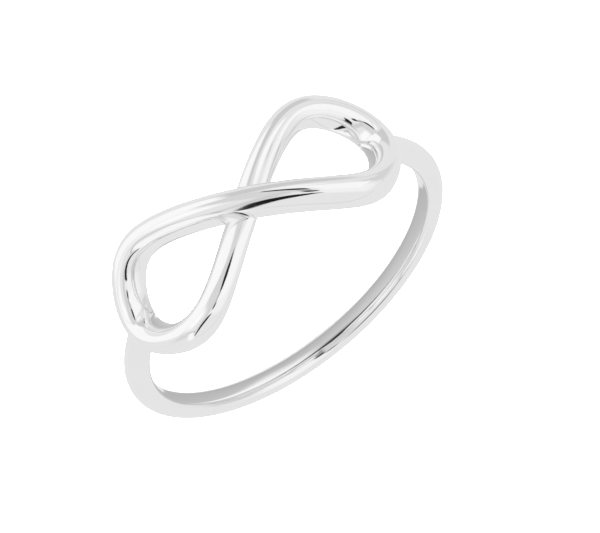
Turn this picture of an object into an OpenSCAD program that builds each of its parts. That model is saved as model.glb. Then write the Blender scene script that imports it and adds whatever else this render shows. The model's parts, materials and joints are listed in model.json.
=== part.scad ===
// Infinity ring in polished silver: a slim band whose front is a figure eight, one strand that
// passes over and under itself. The real ring is cast and soldered metal, so it is one solid.
// It is drawn with the finger's axis along Z and the figure eight towards -Y, and is then laid
// on its side, where its two loops and the back of its band touch the surface.

/* [Finger hole] */
// Inside diameter, which the band and the figure eight share
finger_d = 17.3; // [16.5:0.1:18.9]

/* [Band] */
// Width of the band along the finger
band_w = 1.34; // [1.2:0.02:1.5]
// Thickness of the band from the finger outwards
band_t = 1.25; // [1.05:0.01:1.4]
// Height of its widest line, as a share of the thickness
band_belly = 0.37; // [0.25:0.01:0.5]
// Roundness of its inner side: 2 is an ellipse, and more is flatter
band_inner = 3.1; // [2:0.05:3.2]
// Roundness of its outer side
band_outer = 2; // [2:0.05:3]

/* [Figure eight] */
// Half length of the strand's centre line, measured round the finger
eight_reach = 8.1; // [7.6:0.05:8.4]
// Half width of each loop's centre line along the finger
eight_rise = 2.81; // [2.5:0.01:2.9]
// How much the loops' ends are flattened
end_flat = 0.026; // [0:0.002:0.04]
// How far out towards their ends the loops are widest
loop_out = 0.045; // [0:0.005:0.15]
// Turn of the figure against the band, in degrees
eight_turn = 2.5; // [0:0.1:4]
// Lean of the loops along the figure, in degrees
eight_lean = 1.8; // [0:0.1:4]

/* [Strand] */
// Width of the strand at its widest line
strand_w = 1.56; // [1.4:0.02:1.7]
// Depth of the strand from the finger outwards
strand_t = 1.7; // [1.5:0.02:1.9]
// Height of its widest line, as a share of the depth
strand_belly = 0.3; // [0.22:0.01:0.45]
// Roundness of its inner side: 2 is an ellipse, and more is flatter
strand_inner = 3.2; // [2:0.05:3.5]
// Roundness of its outer side
strand_outer = 2.15; // [2:0.05:3]
// How far the strand's top sinks where it passes below itself, as a share of the depth
dip = 0.66; // [0.4:0.01:0.7]
// Length of that sink to each side of the crossing, in degrees of the centre line's turn
dip_span = 32; // [24:1:36]

/* [Hidden] */

finger_r = finger_d / 2;

// How far each section is drawn into the finger hole, before the hole is cut through it
sunk = 0.05;
// Points round each section
section_steps = 32;
// Steps along each half of the strand, and across the back of the band
half_steps = 64;
band_steps = 90;
circle_steps = 180;
// Difference of turn over which the centre line's direction is taken, in degrees
turn_step = 0.02;
// Times that the plane of rest is found anew, each from the one before
rest_passes = 6;

// Angle round the finger, from the middle of the figure, at which the band ends in the loops
band_end = eight_reach / finger_r * 180 / PI;

// A power of a number's size with the number's sign
function signed_pow(x, p) = sign(x) * pow(abs(x), p);

// A section as [across, height] points, anticlockwise from its right side: half a superellipse
// of power outer above its widest line, and half a one of power inner below it
function section(w, t, belly, inner, outer) = [
  for (i = [0 : section_steps - 1])
    let (
      a = 360 * i / section_steps,
      over = a <= 180,
      power = 2 / (over ? outer : inner),
      rise = over ? (1 - belly) * t : belly * t + sunk
    )
    [w / 2 * signed_pow(cos(a), power), belly * t + rise * signed_pow(sin(a), power)]
];

// The centre line at turn t, from 0 to 360, as [round the finger, along the finger]
function centre(t) =
  let (
    scale = eight_reach / (1 + end_flat),
    u = scale * (sin(t) + end_flat * sin(5 * t)),
    v = eight_rise * (sin(2 * t) + loop_out * sin(4 * t))
  )
  [
    u * cos(eight_turn) - v * (sin(eight_turn) + tan(eight_lean)),
    u * sin(eight_turn) + v * cos(eight_turn)
  ];

// Unit direction of the centre line at turn t
function heading(t) =
  let (d = centre(t + turn_step / 2) - centre(t - turn_step / 2))
  d / norm(d);

// Directions away from the finger and round it, at angle a from the middle of the figure
function outward(a) = [sin(a), -cos(a), 0];
function around(a) = [cos(a), sin(a), 0];

// Share of the strand's depth that is left at turn t, where it sinks at turn 0
function depth_left(t) =
  let (w = (t + 180) % 360 - 180)
  1 - dip * exp(-pow(w / dip_span, 2));

// Points of the strand's section at turn t, in space
function station(t) =
  let (
    c = centre(t),
    h = heading(t),
    a = c.x / finger_r * 180 / PI,
    middle = finger_r * outward(a) + [0, 0, c.y],
    across = [0, 0, h.x] - h.y * around(a)
  )
  [
    for (q = section(strand_w, strand_t, strand_belly, strand_inner, strand_outer))
      middle + q.x * across + q.y * (q.y > 0 ? depth_left(t) : 1) * outward(a)
  ];

// Half of the strand, one row of points for each step from turn t0; turns from 270 on start
// again at -90, so that the two halves end in the very same points
function half_strand(t0) = [
  for (i = [0 : half_steps]) station((t0 + 90 + 180 * i / half_steps) % 360 - 90)
];

// Points of the band's section at angle a, in space
function band_station(a) = [
  for (q = section(band_w, band_t, band_belly, band_inner, band_outer))
    (finger_r + q.y) * outward(a) + [0, 0, q.x]
];

lower_half = half_strand(-90);
upper_half = half_strand(90);
strand_points = [for (row = concat(lower_half, upper_half)) each row];
back_points = [
  for (i = [0 : band_steps]) each band_station(90 + 180 * i / band_steps)
];

// The point that lies lowest when up points upwards
function lowest(points, up) =
  let (
    heights = [for (p = points) p * up],
    low = min(heights)
  )
  [for (i = [0 : len(points) - 1]) if (heights[i] == low) points[i]][0];

// The upward direction when the ring lies on both loops and the back of its band: each pass
// takes the plane through the three points that lie lowest for the last direction
function settled(up, passes) =
  passes == 0 ? up :
  let (
    left = lowest([for (p = strand_points) if (p.x < 0) p], up),
    right = lowest([for (p = strand_points) if (p.x > 0) p], up),
    back = lowest(back_points, up),
    n = cross(right - left, back - left)
  )
  settled(n / norm(n), passes - 1);

up = settled([0, 0, 1], rest_passes);
side = cross([0, 1, 0], up) / norm(cross([0, 1, 0], up));
rear = cross(up, side);

// Half way between the lowest and the highest of all points along direction d
function middle_along(d) =
  let (reach = [for (p = concat(strand_points, back_points)) p * d])
  (min(reach) + max(reach)) / 2;

// Lays its children on the surface, centred over the origin
module lay_down() {
  floor_height = lowest(strand_points, up) * up;
  multmatrix([
    [side.x, side.y, side.z, -middle_along(side)],
    [rear.x, rear.y, rear.z, -middle_along(rear)],
    [up.x, up.y, up.z, -floor_height]
  ])
    children();
}

// A solid skin round rows of section points, with a face across the first and the last
module skin(rows) {
  m = len(rows[0]);
  n = len(rows);
  sides = [
    for (i = [0 : n - 2], j = [0 : m - 1])
      let (
        k = (j + 1) % m,
        a = i * m + j,
        b = (i + 1) * m + j,
        c = (i + 1) * m + k,
        d = i * m + k
      )
      each [[a, b, c], [a, c, d]]
  ];
  first = [for (j = [0 : m - 1]) j];
  last = [for (j = [m : -1 : 1]) (n - 1) * m + j % m];
  polyhedron(
    points = [for (row = rows) each row],
    faces = concat(sides, [first], [last])
  );
}

// The band, from one loop's end round the back to the other's
module band() {
  rotate_extrude(angle = 360 - 2 * band_end, start = band_end - 90, $fn = circle_steps)
    polygon([
      for (q = section(band_w, band_t, band_belly, band_inner, band_outer))
        [finger_r + q.y, q.x]
    ]);
}

// The whole ring: band and strand in one, with the finger hole cut true through both
module infinity_ring() {
  half_hole = eight_rise + strand_w;
  color("silver")
    lay_down()
      difference() {
        union() {
          band();
          skin(lower_half);
          skin(upper_half);
        }
        cylinder(r = finger_r, h = 2 * half_hole, center = true, $fn = circle_steps);
      }
}

infinity_ring();
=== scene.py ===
"""An infinity ring of polished silver, lying on its side on a pale surface.

All sizes are in metres. The ring is drawn with the finger's axis along Z and the figure eight
towards -Y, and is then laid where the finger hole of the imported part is.
"""
import json
import math

import bpy
import numpy as np
from mathutils import Matrix, Vector


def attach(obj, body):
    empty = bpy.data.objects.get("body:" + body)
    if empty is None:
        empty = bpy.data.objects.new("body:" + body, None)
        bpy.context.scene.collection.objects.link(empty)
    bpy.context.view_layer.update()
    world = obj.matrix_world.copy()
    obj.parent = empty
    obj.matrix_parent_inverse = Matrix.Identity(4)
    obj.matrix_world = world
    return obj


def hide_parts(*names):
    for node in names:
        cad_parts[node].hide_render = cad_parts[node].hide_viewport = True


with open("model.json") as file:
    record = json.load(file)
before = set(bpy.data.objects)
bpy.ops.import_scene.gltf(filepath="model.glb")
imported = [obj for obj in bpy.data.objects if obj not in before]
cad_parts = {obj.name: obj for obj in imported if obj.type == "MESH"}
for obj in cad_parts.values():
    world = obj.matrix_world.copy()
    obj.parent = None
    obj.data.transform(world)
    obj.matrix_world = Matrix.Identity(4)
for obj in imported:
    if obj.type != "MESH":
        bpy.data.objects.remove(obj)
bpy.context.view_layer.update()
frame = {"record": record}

# Finger hole
# The hole that a finger goes through, round as a mandrel leaves it. Its radius and place are
# those of the imported part.
mount = frame["record"]["mounts"][0]
FINGER_R = mount["dims"]["r_mm"] / 1000

finger_middle = np.array(mount["pos_m"], float)
finger_axis = np.array(mount["axis"], float)
finger_axis /= np.linalg.norm(finger_axis)
rearward = np.array([0.0, finger_axis[2], -finger_axis[1]])
rearward /= np.linalg.norm(rearward)
sideways = np.cross(rearward, finger_axis)

# Figure eight
# One cast strand that makes two loops and passes over and under itself. Its upper run is full
# and smooth, and its lower run sinks towards the finger, where the upper one covers it.

# Half length of the centre line round the finger, and half width of its loops along it.
REACH = 0.0081
RISE = 0.00281
# How much the loops' ends are flattened, and how far out the loops are widest.
END_FLAT = 0.026
LOOP_OUT = 0.045
# Turn of the figure against the band, and lean of its loops along the figure.
TURN = math.radians(2.5)
LEAN = math.radians(1.8)
# Width and depth of the strand, the height of its widest line as a share of the depth, and
# the roundness of its inner and outer side, where 2 is an ellipse and more is flatter.
STRAND_W = 0.001555
STRAND_T = 0.001696
STRAND_BELLY = 0.3
STRAND_INNER = 3.2
STRAND_OUTER = 2.15
# How far the strand sinks where it passes below itself, as a share of its depth, and the turn
# over which it does so to each side.
DIP = 0.66
DIP_SPAN = math.radians(32)
# Steps along each half of the strand and round each section, and the small turn over which
# the centre line's direction is taken.
STRAND_STEPS = 300
SECTION_STEPS = 72
TURN_STEP = 1e-4
ALONG_FINGER = np.array([0.0, 0.0, 1.0])


def outward(angle):
    """Unit vectors away from the finger, at angles round it from the middle of the figure."""
    return np.stack([np.sin(angle), -np.cos(angle), np.zeros_like(angle)], -1)


def around(angle):
    """Unit vectors round the finger, at angles from the middle of the figure."""
    return np.stack([np.cos(angle), np.sin(angle), np.zeros_like(angle)], -1)


def section(width, depth, belly, inner, outer):
    """A section as (across, height) points, anticlockwise from its right side.

    Half a superellipse of power outer lies above its widest line, and half a one of power
    inner below it, which touches the finger in the middle.
    """
    a = np.linspace(0, 2 * math.pi, SECTION_STEPS, endpoint=False)
    over = a <= math.pi
    power = 2 / np.where(over, outer, inner)
    rise = np.where(over, (1 - belly) * depth, belly * depth)
    across = width / 2 * np.sign(np.cos(a)) * np.abs(np.cos(a)) ** power
    height = belly * depth + rise * np.sign(np.sin(a)) * np.abs(np.sin(a)) ** power
    return np.stack([across, height], -1)


def add_mesh(name, points, faces):
    """A new object with a mesh of these points and faces."""
    mesh = bpy.data.meshes.new(name)
    mesh.from_pydata(points, [], faces)
    obj = bpy.data.objects.new(name, mesh)
    bpy.context.scene.collection.objects.link(obj)
    return obj


def closed_skin(name, rows):
    """A mesh round rows of section points, with a flat face across the first and the last."""
    n, m = rows.shape[:2]
    i, j = np.meshgrid(np.arange(n - 1), np.arange(m), indexing="ij")
    k = (j + 1) % m
    quads = np.stack([i * m + j, i * m + k, (i + 1) * m + k, (i + 1) * m + j], -1)
    faces = quads.reshape(-1, 4).tolist()
    faces.append([m - 1 - q for q in range(m)])
    faces.append([(n - 1) * m + q for q in range(m)])
    return add_mesh(name, rows.reshape(-1, 3), faces)


def centre_line(t):
    """The strand's middle at turns t, as distances round the finger and along it.

    A figure eight of one sine wave round the finger and one of twice the rate along it, each
    with a small faster wave for its form, then turned and leaned as a whole.
    """
    u = REACH / (1 + END_FLAT) * (np.sin(t) + END_FLAT * np.sin(5 * t))
    v = RISE * (np.sin(2 * t) + LOOP_OUT * np.sin(4 * t))
    round_finger = u * math.cos(TURN) - v * (math.sin(TURN) + math.tan(LEAN))
    return round_finger, u * math.sin(TURN) + v * math.cos(TURN)


def strand_half(name, first):
    """Half of the strand, over half a turn from turn first.

    The section stands square to the centre line, and loses height by a bell curve of the turn
    where the strand sinks.
    """
    t = first + np.linspace(0, math.pi, STRAND_STEPS + 1)
    u, v = centre_line(t)
    ahead = np.array(centre_line(t + TURN_STEP)) - np.array(centre_line(t - TURN_STEP))
    ahead /= np.linalg.norm(ahead, axis=0)
    angle = u / FINGER_R
    middle = FINGER_R * outward(angle) + v[:, None] * ALONG_FINGER
    across = ahead[0][:, None] * ALONG_FINGER - ahead[1][:, None] * around(angle)
    shape = section(STRAND_W, STRAND_T, STRAND_BELLY, STRAND_INNER, STRAND_OUTER)
    from_dip = (t + math.pi) % (2 * math.pi) - math.pi
    left = 1 - DIP * np.exp(-(from_dip / DIP_SPAN) ** 2)
    height = left[:, None] * shape[None, :, 1]
    rows = middle[:, None] + shape[None, :, 0, None] * across[:, None]
    rows = rows + height[..., None] * outward(angle)[:, None]
    return closed_skin(name, rows)


lower_half = strand_half("lower_half", -math.pi / 2)
upper_half = strand_half("upper_half", math.pi / 2)

# Band
# The slim half-round hoop that runs round the back of the finger, cast with the figure eight
# and running into the inner side of each loop's end.

# The same sizes of its section as the strand's, and the steps round the back.
BAND_W = 0.00134
BAND_T = 0.001248
BAND_BELLY = 0.37
BAND_INNER = 3.1
BAND_OUTER = 2
BAND_STEPS = 400

band_end = REACH / FINGER_R
angle = np.linspace(band_end, 2 * math.pi - band_end, BAND_STEPS + 1)
shape = section(BAND_W, BAND_T, BAND_BELLY, BAND_INNER, BAND_OUTER)
rows = (FINGER_R + shape[None, :, 1, None]) * outward(angle)[:, None]
rows = rows + shape[None, :, 0, None] * ALONG_FINGER
band = closed_skin("band", rows)

# One solid
# The strand's two halves and the band are one casting of silver, with no joint line. It lies
# on its side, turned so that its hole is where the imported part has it.
SHARP_FROM = math.radians(30)


def unite(base, other):
    """Joins another closed mesh to the base, and removes it."""
    modifier = base.modifiers.new("unite", "BOOLEAN")
    modifier.operation = "UNION"
    modifier.solver = "MANIFOLD"
    modifier.object = other
    whole = bpy.data.meshes.new_from_object(
        base.evaluated_get(bpy.context.evaluated_depsgraph_get()))
    base.modifiers.clear()
    base.data = whole
    bpy.data.objects.remove(other)


bpy.context.view_layer.update()
ring = lower_half
for other in (upper_half, band):
    unite(ring, other)
ring.name = "infinity_ring_metal"
place = np.eye(4)
place[:3] = np.stack([sideways, rearward, finger_axis, finger_middle], -1)
ring.data.transform(Matrix(place.tolist()))
ring.data.polygons.foreach_set("use_smooth", [True] * len(ring.data.polygons))
ring.data.set_sharp_from_angle(angle=SHARP_FROM)
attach(ring, "root")
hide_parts("infinity_ring")

# Polished silver
# It is hardly rough, with the traces of the buff running round the finger, a few finer ones
# across them, faint hand-made waves, and a softer inner face that the buff misses.

# Waves to the metre of each trace, and how much finer noise it holds. The first two run round
# the finger, along it and outwards from it, and the others are the same every way.
BUFFED = ((180, 9000, 9000), 3)
CROSSED = ((7000, 700, 2500), 2)
HAND_WAVES = ((520, 520, 520), 1)
CLOUDS = ((330, 330, 330), 4)
# Distances outwards from the hole's wall at which the softer inner face has ended, and up to
# which it is full.
INNER_END = 0.00016
INNER_FULL = 0.00004
# Roughness of the brightest metal, and what clouds, lines and the inner face add to it.
SMOOTHEST = 0.035
CLOUD_ROUGH = 0.04
LINE_ROUGH = 0.08
INNER_ROUGH = 0.02
# Tone of the brightest metal, and what each of the three takes off it.
BRIGHTEST = 0.945
DULLING = 0.03
# Weight of the crossing lines against those of the buff.
CROSSED_SHARE = 0.5
# Depths of the relief.
WAVE_DEPTH = 3e-6
BUFFED_DEPTH = 2.2e-7
CROSSED_DEPTH = 1.2e-7
INNER_DEPTH = 4e-7


class Val:
    """A number or vector in a node tree, with the usual operators."""

    def __init__(self, tree, socket):
        self.tree = tree
        self.socket = socket

    def node(self, kind, values, settings=(), output=0):
        """The output of a new node of a kind, with its settings and its sockets' values."""
        made = self.tree.nodes.new(kind)
        for name, value in settings:
            setattr(made, name, value)
        for key, value in values:
            if isinstance(value, Val):
                self.tree.links.new(value.socket, made.inputs[key])
            else:
                made.inputs[key].default_value = value
        return Val(self.tree, made.outputs[output])

    def maths(self, operation, a, b=0.0):
        """A Math node's result."""
        return self.node("ShaderNodeMath", [(0, a), (1, b)], [("operation", operation)])

    def vectors(self, operation, a, b, output=0):
        """A Vector Math node's result."""
        return self.node("ShaderNodeVectorMath", [(0, a), (1, b)],
                         [("operation", operation)], output)

    def __add__(self, other):
        return self.maths("ADD", self, other)

    def __sub__(self, other):
        return self.maths("SUBTRACT", self, other)

    def __rsub__(self, other):
        return self.maths("SUBTRACT", other, self)

    def __mul__(self, other):
        return self.maths("MULTIPLY", self, other)

    def __truediv__(self, other):
        return self.maths("DIVIDE", self, other)

    __radd__ = __add__
    __rmul__ = __mul__

    def size(self):
        """The number without its sign."""
        return self.maths("ABSOLUTE", self)

    def dot(self, vector):
        """The share of this vector along a fixed one."""
        return self.vectors("DOT_PRODUCT", self, tuple(vector), "Value")

    def length_with(self, other):
        """The long side of a right triangle with these two numbers as its short sides."""
        return self.maths("POWER", self * self + other * other, 0.5)

    def step(self, low, high):
        """Goes smoothly from 0 at low to 1 at high."""
        return self.node("ShaderNodeMapRange", [("Value", self), (1, low), (2, high)],
                         [("interpolation_type", "SMOOTHSTEP")])

    def noise(self, stretch, detail):
        """Seamless noise about 0.5, with stretch waves to the metre along each axis."""
        spread = self.vectors("MULTIPLY", self, stretch)
        return self.node("ShaderNodeTexNoise", [("Vector", spread), ("Scale", 1.0),
                                                ("Detail", detail)])


def object_spot(tree):
    """The place on the object, in its own coordinates."""
    return Val(tree, tree.nodes.new("ShaderNodeTexCoord").outputs["Object"])


silver = bpy.data.materials.new("polished_silver")
silver.use_nodes = True
tree = silver.node_tree
shader = tree.nodes["Principled BSDF"]
shader.inputs["Metallic"].default_value = 1
spot = object_spot(tree)
spot = spot.vectors("SUBTRACT", spot, tuple(finger_middle))
right = spot.dot(sideways)
rear = spot.dot(rearward)
height = spot.dot(finger_axis)
radius = right.length_with(rear)
turn = spot.maths("ARCTAN2", right, rear)
unrolled = spot.node("ShaderNodeCombineXYZ", [(0, turn * FINGER_R), (1, height), (2, radius)])
buffed = unrolled.noise(*BUFFED)
crossed = unrolled.noise(*CROSSED)
waves = spot.noise(*HAND_WAVES)
clouds = spot.noise(*CLOUDS)
inner = radius.step(FINGER_R + INNER_END, FINGER_R + INNER_FULL)
lines = (buffed - 0.5).size() + CROSSED_SHARE * (crossed - 0.5).size()
rough = SMOOTHEST + CLOUD_ROUGH * clouds + LINE_ROUGH * lines + INNER_ROUGH * inner
tree.links.new(rough.socket, shader.inputs["Roughness"])
tone = BRIGHTEST - DULLING * clouds - DULLING * lines - DULLING * inner
tree.links.new(tone.socket, shader.inputs["Base Color"])
relief = WAVE_DEPTH * waves + BUFFED_DEPTH * buffed + CROSSED_DEPTH * crossed
relief = relief + INNER_DEPTH * inner * buffed
bump = relief.node("ShaderNodeBump", [("Height", relief), ("Strength", 1.0), ("Distance", 1.0)])
tree.links.new(bump.socket, shader.inputs["Normal"])
ring.data.materials.clear()
ring.data.materials.append(silver)

# Floor and daylight
# A pale matt surface under an even white light. The metal doesn't show this surface, but the
# tent and the disc of painted floor shading of the next two sections.

# Half the floor's side, its tone and roughness, and the strength of the light on it.
FLOOR_REACH = 4.0
FLOOR_TONE = 0.9
FLOOR_ROUGH = 0.9
DAYLIGHT = 6

corners = [(-1, -1, 0), (1, -1, 0), (1, 1, 0), (-1, 1, 0)]
floor = add_mesh("floor", [[FLOOR_REACH * x for x in c] for c in corners], [(0, 1, 2, 3)])
floor.visible_glossy = False
paper = bpy.data.materials.new("pale_surface")
paper.use_nodes = True
shader = paper.node_tree.nodes["Principled BSDF"]
shader.inputs["Base Color"].default_value = (FLOOR_TONE, FLOOR_TONE, FLOOR_TONE, 1)
shader.inputs["Roughness"].default_value = FLOOR_ROUGH
shader.inputs["Specular IOR Level"].default_value = 0
floor.data.materials.append(paper)

world = bpy.data.worlds.new("studio")
bpy.context.scene.world = world
world.use_nodes = True
background = world.node_tree.nodes["Background"]
background.inputs["Color"].default_value = (1, 1, 1, 1)
background.inputs["Strength"].default_value = DAYLIGHT

# Tent
# A far round tent of soft cloth that only the polished metal shows: white and grey panels,
# thin seams between them, and the dark slot that the lens looks through.

# Radius of the tent, the rings and sides of its skin, and its brightness between the panels.
TENT_R = 1.6
TENT_RINGS = 49
TENT_SIDES = 96
TENT_TONE = 0.84
# Each panel: azimuth and elevation of its middle, roll, half length, half height and soft edge,
# all in degrees, and its brightness.
PANELS = {
    "upper_left": (-55, 68, 0, 30, 20, 14, 0.95),
    "grey_left": (-82, 8, 0, 22, 24, 14, 0.70),
    "grey_slope": (-55, -2, -8, 21, 9, 6, 0.82),
    "grey_cloth": (-31, -37, 0, 30, 19, 8, 0.64),
    "white_below": (38, -38, 0, 36, 26, 6, 1.02),
    "white_right": (42, 6, 0, 20, 16, 14, 1.04),
    "grey_right": (84, 14, 0, 12, 14, 10, 0.72),
    "bright_strip": (106, 37, 0, 20, 6, 5, 1.0),
    "white_left": (-26, 34, -33, 36, 22, 6, 1.0),
    "grey_front": (5, 14, 0, 16, 31, 6, 0.72),
}
# Depth in front of the tent's middle, as a share of its radius, over which a panel fades in,
# so that it doesn't show on the far side as well.
PANEL_FADE = 0.01
# Each line: its points, as azimuth, elevation and half width in degrees; its soft edge in
# degrees; and its brightness.
LINES = {
    "slot_shade": ([(10, 38, 4), (30, 46, 6), (50, 50, 5.5), (68, 50, 4), (84, 45, 2.5),
                    (93, 43, 0.5)], 8, 0.66),
    "white_gap": ([(-36, 2, 3), (-25, -4, 5), (-17, -8, 3)], 4, 1.02),
    "seam_left": ([(-62, 26, 0.7), (-33, 8, 0.7), (-8, -10, 0.7)], 1.4, 0.5),
    "seam_far": ([(-115, 31, 1), (-85, 32, 0.8), (-62, 26, 0.7)], 1.4, 0.55),
    "seam_back": ([(128, 40, 0.8), (142, 43, 0.8), (157, 47, 0.8), (180, 52, 0.8),
                   (-150, 52, 0.8)], 1.5, 0.62),
    "seam_right": ([(73, 16, 0.5), (77, 30, 0.9), (84, 43, 1.2), (94, 45, 0.6)], 1.6, 0.45),
    "slot": ([(-8.5, -3, 1), (-8.5, 3, 2.8), (-9.5, 12, 3.8), (-10.5, 22, 4), (-10, 30, 3.4),
              (-8, 36, 1.5)], 1.6, 0.01),
    "slot_tail": ([(-8, 34, 2.5), (-4, 42, 2.5), (2, 50, 2.5)], 2, 0.38),
    "slot_end": ([(1, 52, 3.8), (4, 55, 3.8)], 3, 0.03),
    "slot_arm": ([(18, 70, 1), (29, 66.5, 3.6), (41, 63, 6), (55, 60.5, 6.4), (72, 57.5, 5.4),
                  (88, 54.5, 3.8), (104, 50, 2.4), (118, 44, 1.2)], 1.4, 0.01),
}


def direction(azimuth, elevation):
    """Unit vectors at azimuths from -Y towards +X and elevations, in degrees."""
    a = np.radians(azimuth)
    e = np.radians(elevation)
    parts = (np.sin(a) * np.cos(e), -np.cos(a) * np.cos(e), np.sin(e))
    return np.stack(np.broadcast_arrays(*parts), -1)


def glow_with(tree, tone):
    """Makes a material glow evenly in every direction, in this tone."""
    glow = tree.nodes.new("ShaderNodeEmission")
    tree.links.new(tone.socket, glow.inputs["Color"])
    surface = tree.nodes.new("ShaderNodeOutputMaterial")
    tree.links.new(glow.outputs[0], surface.inputs["Surface"])


def panel_share(start, az, el, roll, half_l, half_h, soft):
    """How far a direction from the tent's middle meets a panel, from 0 to 1.

    The direction is followed to the flat panel, and its distances from the panel's middle
    along and across are compared with half its length and height.
    """
    middle = direction(az, el)
    level = direction(az + 90, 0)
    r = math.radians(roll)
    length = math.cos(r) * level + math.sin(r) * np.cross(middle, level)
    depth = start.dot(middle)
    p = (start.dot(length) / depth).size()
    q = (start.dot(np.cross(middle, length)) / depth).size()
    edge, tall, wide = (math.tan(math.radians(x)) for x in (soft, half_h, half_l))
    inside = q.step(tall + edge / 2, tall - edge / 2) * p.step(wide + edge, wide - edge)
    return inside * depth.step(0, PANEL_FADE)


def stretch_share(start, one_end, other_end, soft):
    """How far a direction meets one stretch of a line, from 0 to 1.

    The nearest place on the straight run between the two ends gives the distance, from which
    the half width there is taken off.
    """
    az0, el0, w0 = one_end
    az1, el1, w1 = other_end
    first = direction(az0, el0)
    run = direction(az1, el1) - first
    share = (start.dot(run) - float(first @ run)) * (1 / float(run @ run))
    share = share.maths("MINIMUM", share.maths("MAXIMUM", share, 0.0), 1.0)
    nearest = share.node("ShaderNodeCombineXYZ", [(k, float(first[k]) + float(run[k]) * share)
                                                  for k in range(3)])
    gap = start.vectors("DISTANCE", start, nearest, "Value")
    gap = gap - (math.radians(w0) + math.radians(w1 - w0) * share)
    edge = math.radians(soft)
    return gap.step(edge / 2, -edge / 2)


azimuths = np.linspace(0, 360, TENT_SIDES, endpoint=False)
elevations = np.linspace(-90, 90, TENT_RINGS)
tent = closed_skin("tent", TENT_R * direction(azimuths, elevations[:, None]))

cloth = bpy.data.materials.new("tent_cloth")
cloth.use_nodes = True
tree = cloth.node_tree
tree.nodes.clear()
start = object_spot(tree)
start = start.vectors("MULTIPLY", start, (1 / TENT_R, 1 / TENT_R, 1 / TENT_R))
tone = TENT_TONE
for *form, bright in PANELS.values():
    tone = tone + (bright - tone) * panel_share(start, *form)
for points, soft, bright in LINES.values():
    inside = 0.0
    for one_end, other_end in zip(points, points[1:]):
        inside = start.maths("MAXIMUM", stretch_share(start, one_end, other_end, soft), inside)
    tone = tone + (bright - tone) * inside
glow_with(tree, tone)
tent.data.materials.append(cloth)

# Painted floor shading
# A glowing disc just above the floor inside the hoop, which only the metal shows: a painted
# shadow, darker towards the ring, a painted patch of light on its right, and a painted dark
# reflection of the slot as a narrow line from front to back.

# Radius of the surface, its height above the floor, and the sides of its outline.
CARD_R = 0.0084
CARD_HEIGHT = 0.00003
CARD_STEPS = 96
# Painted shadow: its tone at the rim, the radius where it is reached, and its rise to the metre
# inwards.
PAINTED_SHADOW_TONE = 0.5
PAINTED_SHADOW_R = 0.0083
PAINTED_SHADOW_RISE = 61
# Painted patch of light: its tone, and where it begins and is full: on its left and right, and
# on its outer side, whose radius grows with the distance to the right.
PAINTED_LIGHT_TONE = 1.05
LIT_LEFT = (-0.0003, 0.0003)
LIT_RIGHT = (0.0031, 0.0016)
LIT_OUTSIDE = (0.0067, 0.0052)
LIT_GROWTH = 0.45
# Painted dark reflection of the slot, as a narrow line: its tone, the place of its middle, how
# much it leans to the left on its way back, and its half length, outside of which it has ended
# and inside of which it is full.
PAINTED_REFLECTION_TONE = 0.01
STREAK_X = -0.00003
STREAK_Y = 0.0009
STREAK_LEAN = 0.1
STREAK_HALF_LENGTH = (0.005, 0.0032)
# Its half width, in the same way, at this distance back, and its growth towards the front.
STREAK_HALF_WIDTH = (0.00045, 0.0002)
STREAK_TIP = 0.005
STREAK_GROWTH = 0.045

turns = np.linspace(0, 2 * math.pi, CARD_STEPS, endpoint=False)
rim = np.stack([CARD_R * np.cos(turns), CARD_R * np.sin(turns) + finger_middle[1],
                np.full_like(turns, CARD_HEIGHT)], -1)
painted_shading_card = add_mesh("painted_shading_card", rim, [list(range(CARD_STEPS))])

shade = bpy.data.materials.new("painted_floor_shading")
shade.use_nodes = True
tree = shade.node_tree
tree.nodes.clear()
spot = object_spot(tree)
across = spot.dot((1, 0, 0))
along = spot.dot((0, 1, 0))
radius = across.length_with(along - float(finger_middle[1]))
# Painted shadow, darker towards the ring.
tone = PAINTED_SHADOW_TONE + PAINTED_SHADOW_RISE * (PAINTED_SHADOW_R - radius)
# Painted patch of light on the right.
painted_lit_patch = across.step(*LIT_LEFT) * (radius - LIT_GROWTH * across).step(*LIT_OUTSIDE)
painted_lit_patch = painted_lit_patch * across.step(*LIT_RIGHT)
tone = tone + (PAINTED_LIGHT_TONE - tone) * painted_lit_patch
# Painted dark reflection of the slot, a narrow line from front to back.
aside = (across + STREAK_LEAN * along - STREAK_X).size() - STREAK_GROWTH * (STREAK_TIP - along)
painted_slot_reflection = aside.step(*STREAK_HALF_WIDTH) * (along - STREAK_Y).size().step(*STREAK_HALF_LENGTH)
tone = tone + (PAINTED_REFLECTION_TONE - tone) * painted_slot_reflection
glow_with(tree, tone)
painted_shading_card.data.materials.append(shade)

for hidden in (tent, painted_shading_card):
    hidden.visible_camera = False
    hidden.visible_diffuse = False
    hidden.visible_transmission = False
    hidden.visible_shadow = False

# Camera
# A long lens, 37 degrees above the surface and a little right of the figure eight's middle,
# turned about its own axis as the photo is.

# Angles of the view, the place that it looks at and how far off it stands.
AZIMUTH = math.radians(6.926)
ELEVATION = math.radians(36.735)
ROLL = math.radians(136.458)
AIM = Vector((-0.000978, 0.000167, 0.002337))
DISTANCE = 0.2381
# Focal length and film width in millimetres, and the nearest and farthest that it shows.
LENS = 276.1
SENSOR = 36
NEAREST = 0.01
FARTHEST = 20

camera_data = bpy.data.cameras.new("camera")
camera_data.lens = LENS
camera_data.sensor_width = SENSOR
camera_data.clip_start = NEAREST
camera_data.clip_end = FARTHEST
camera = bpy.data.objects.new("camera", camera_data)
bpy.context.scene.collection.objects.link(camera)
flat = math.cos(ELEVATION)
back = Vector((math.sin(AZIMUTH) * flat, -math.cos(AZIMUTH) * flat, math.sin(ELEVATION)))
level = Vector((math.cos(AZIMUTH), math.sin(AZIMUTH), 0))
right = math.cos(ROLL) * level + math.sin(ROLL) * back.cross(level)
turned = Matrix((right, back.cross(right), back)).transposed().to_4x4()
turned.translation = AIM + DISTANCE * back
camera.matrix_world = turned
bpy.context.scene.camera = camera
bpy.context.scene.view_settings.view_transform = "Standard"
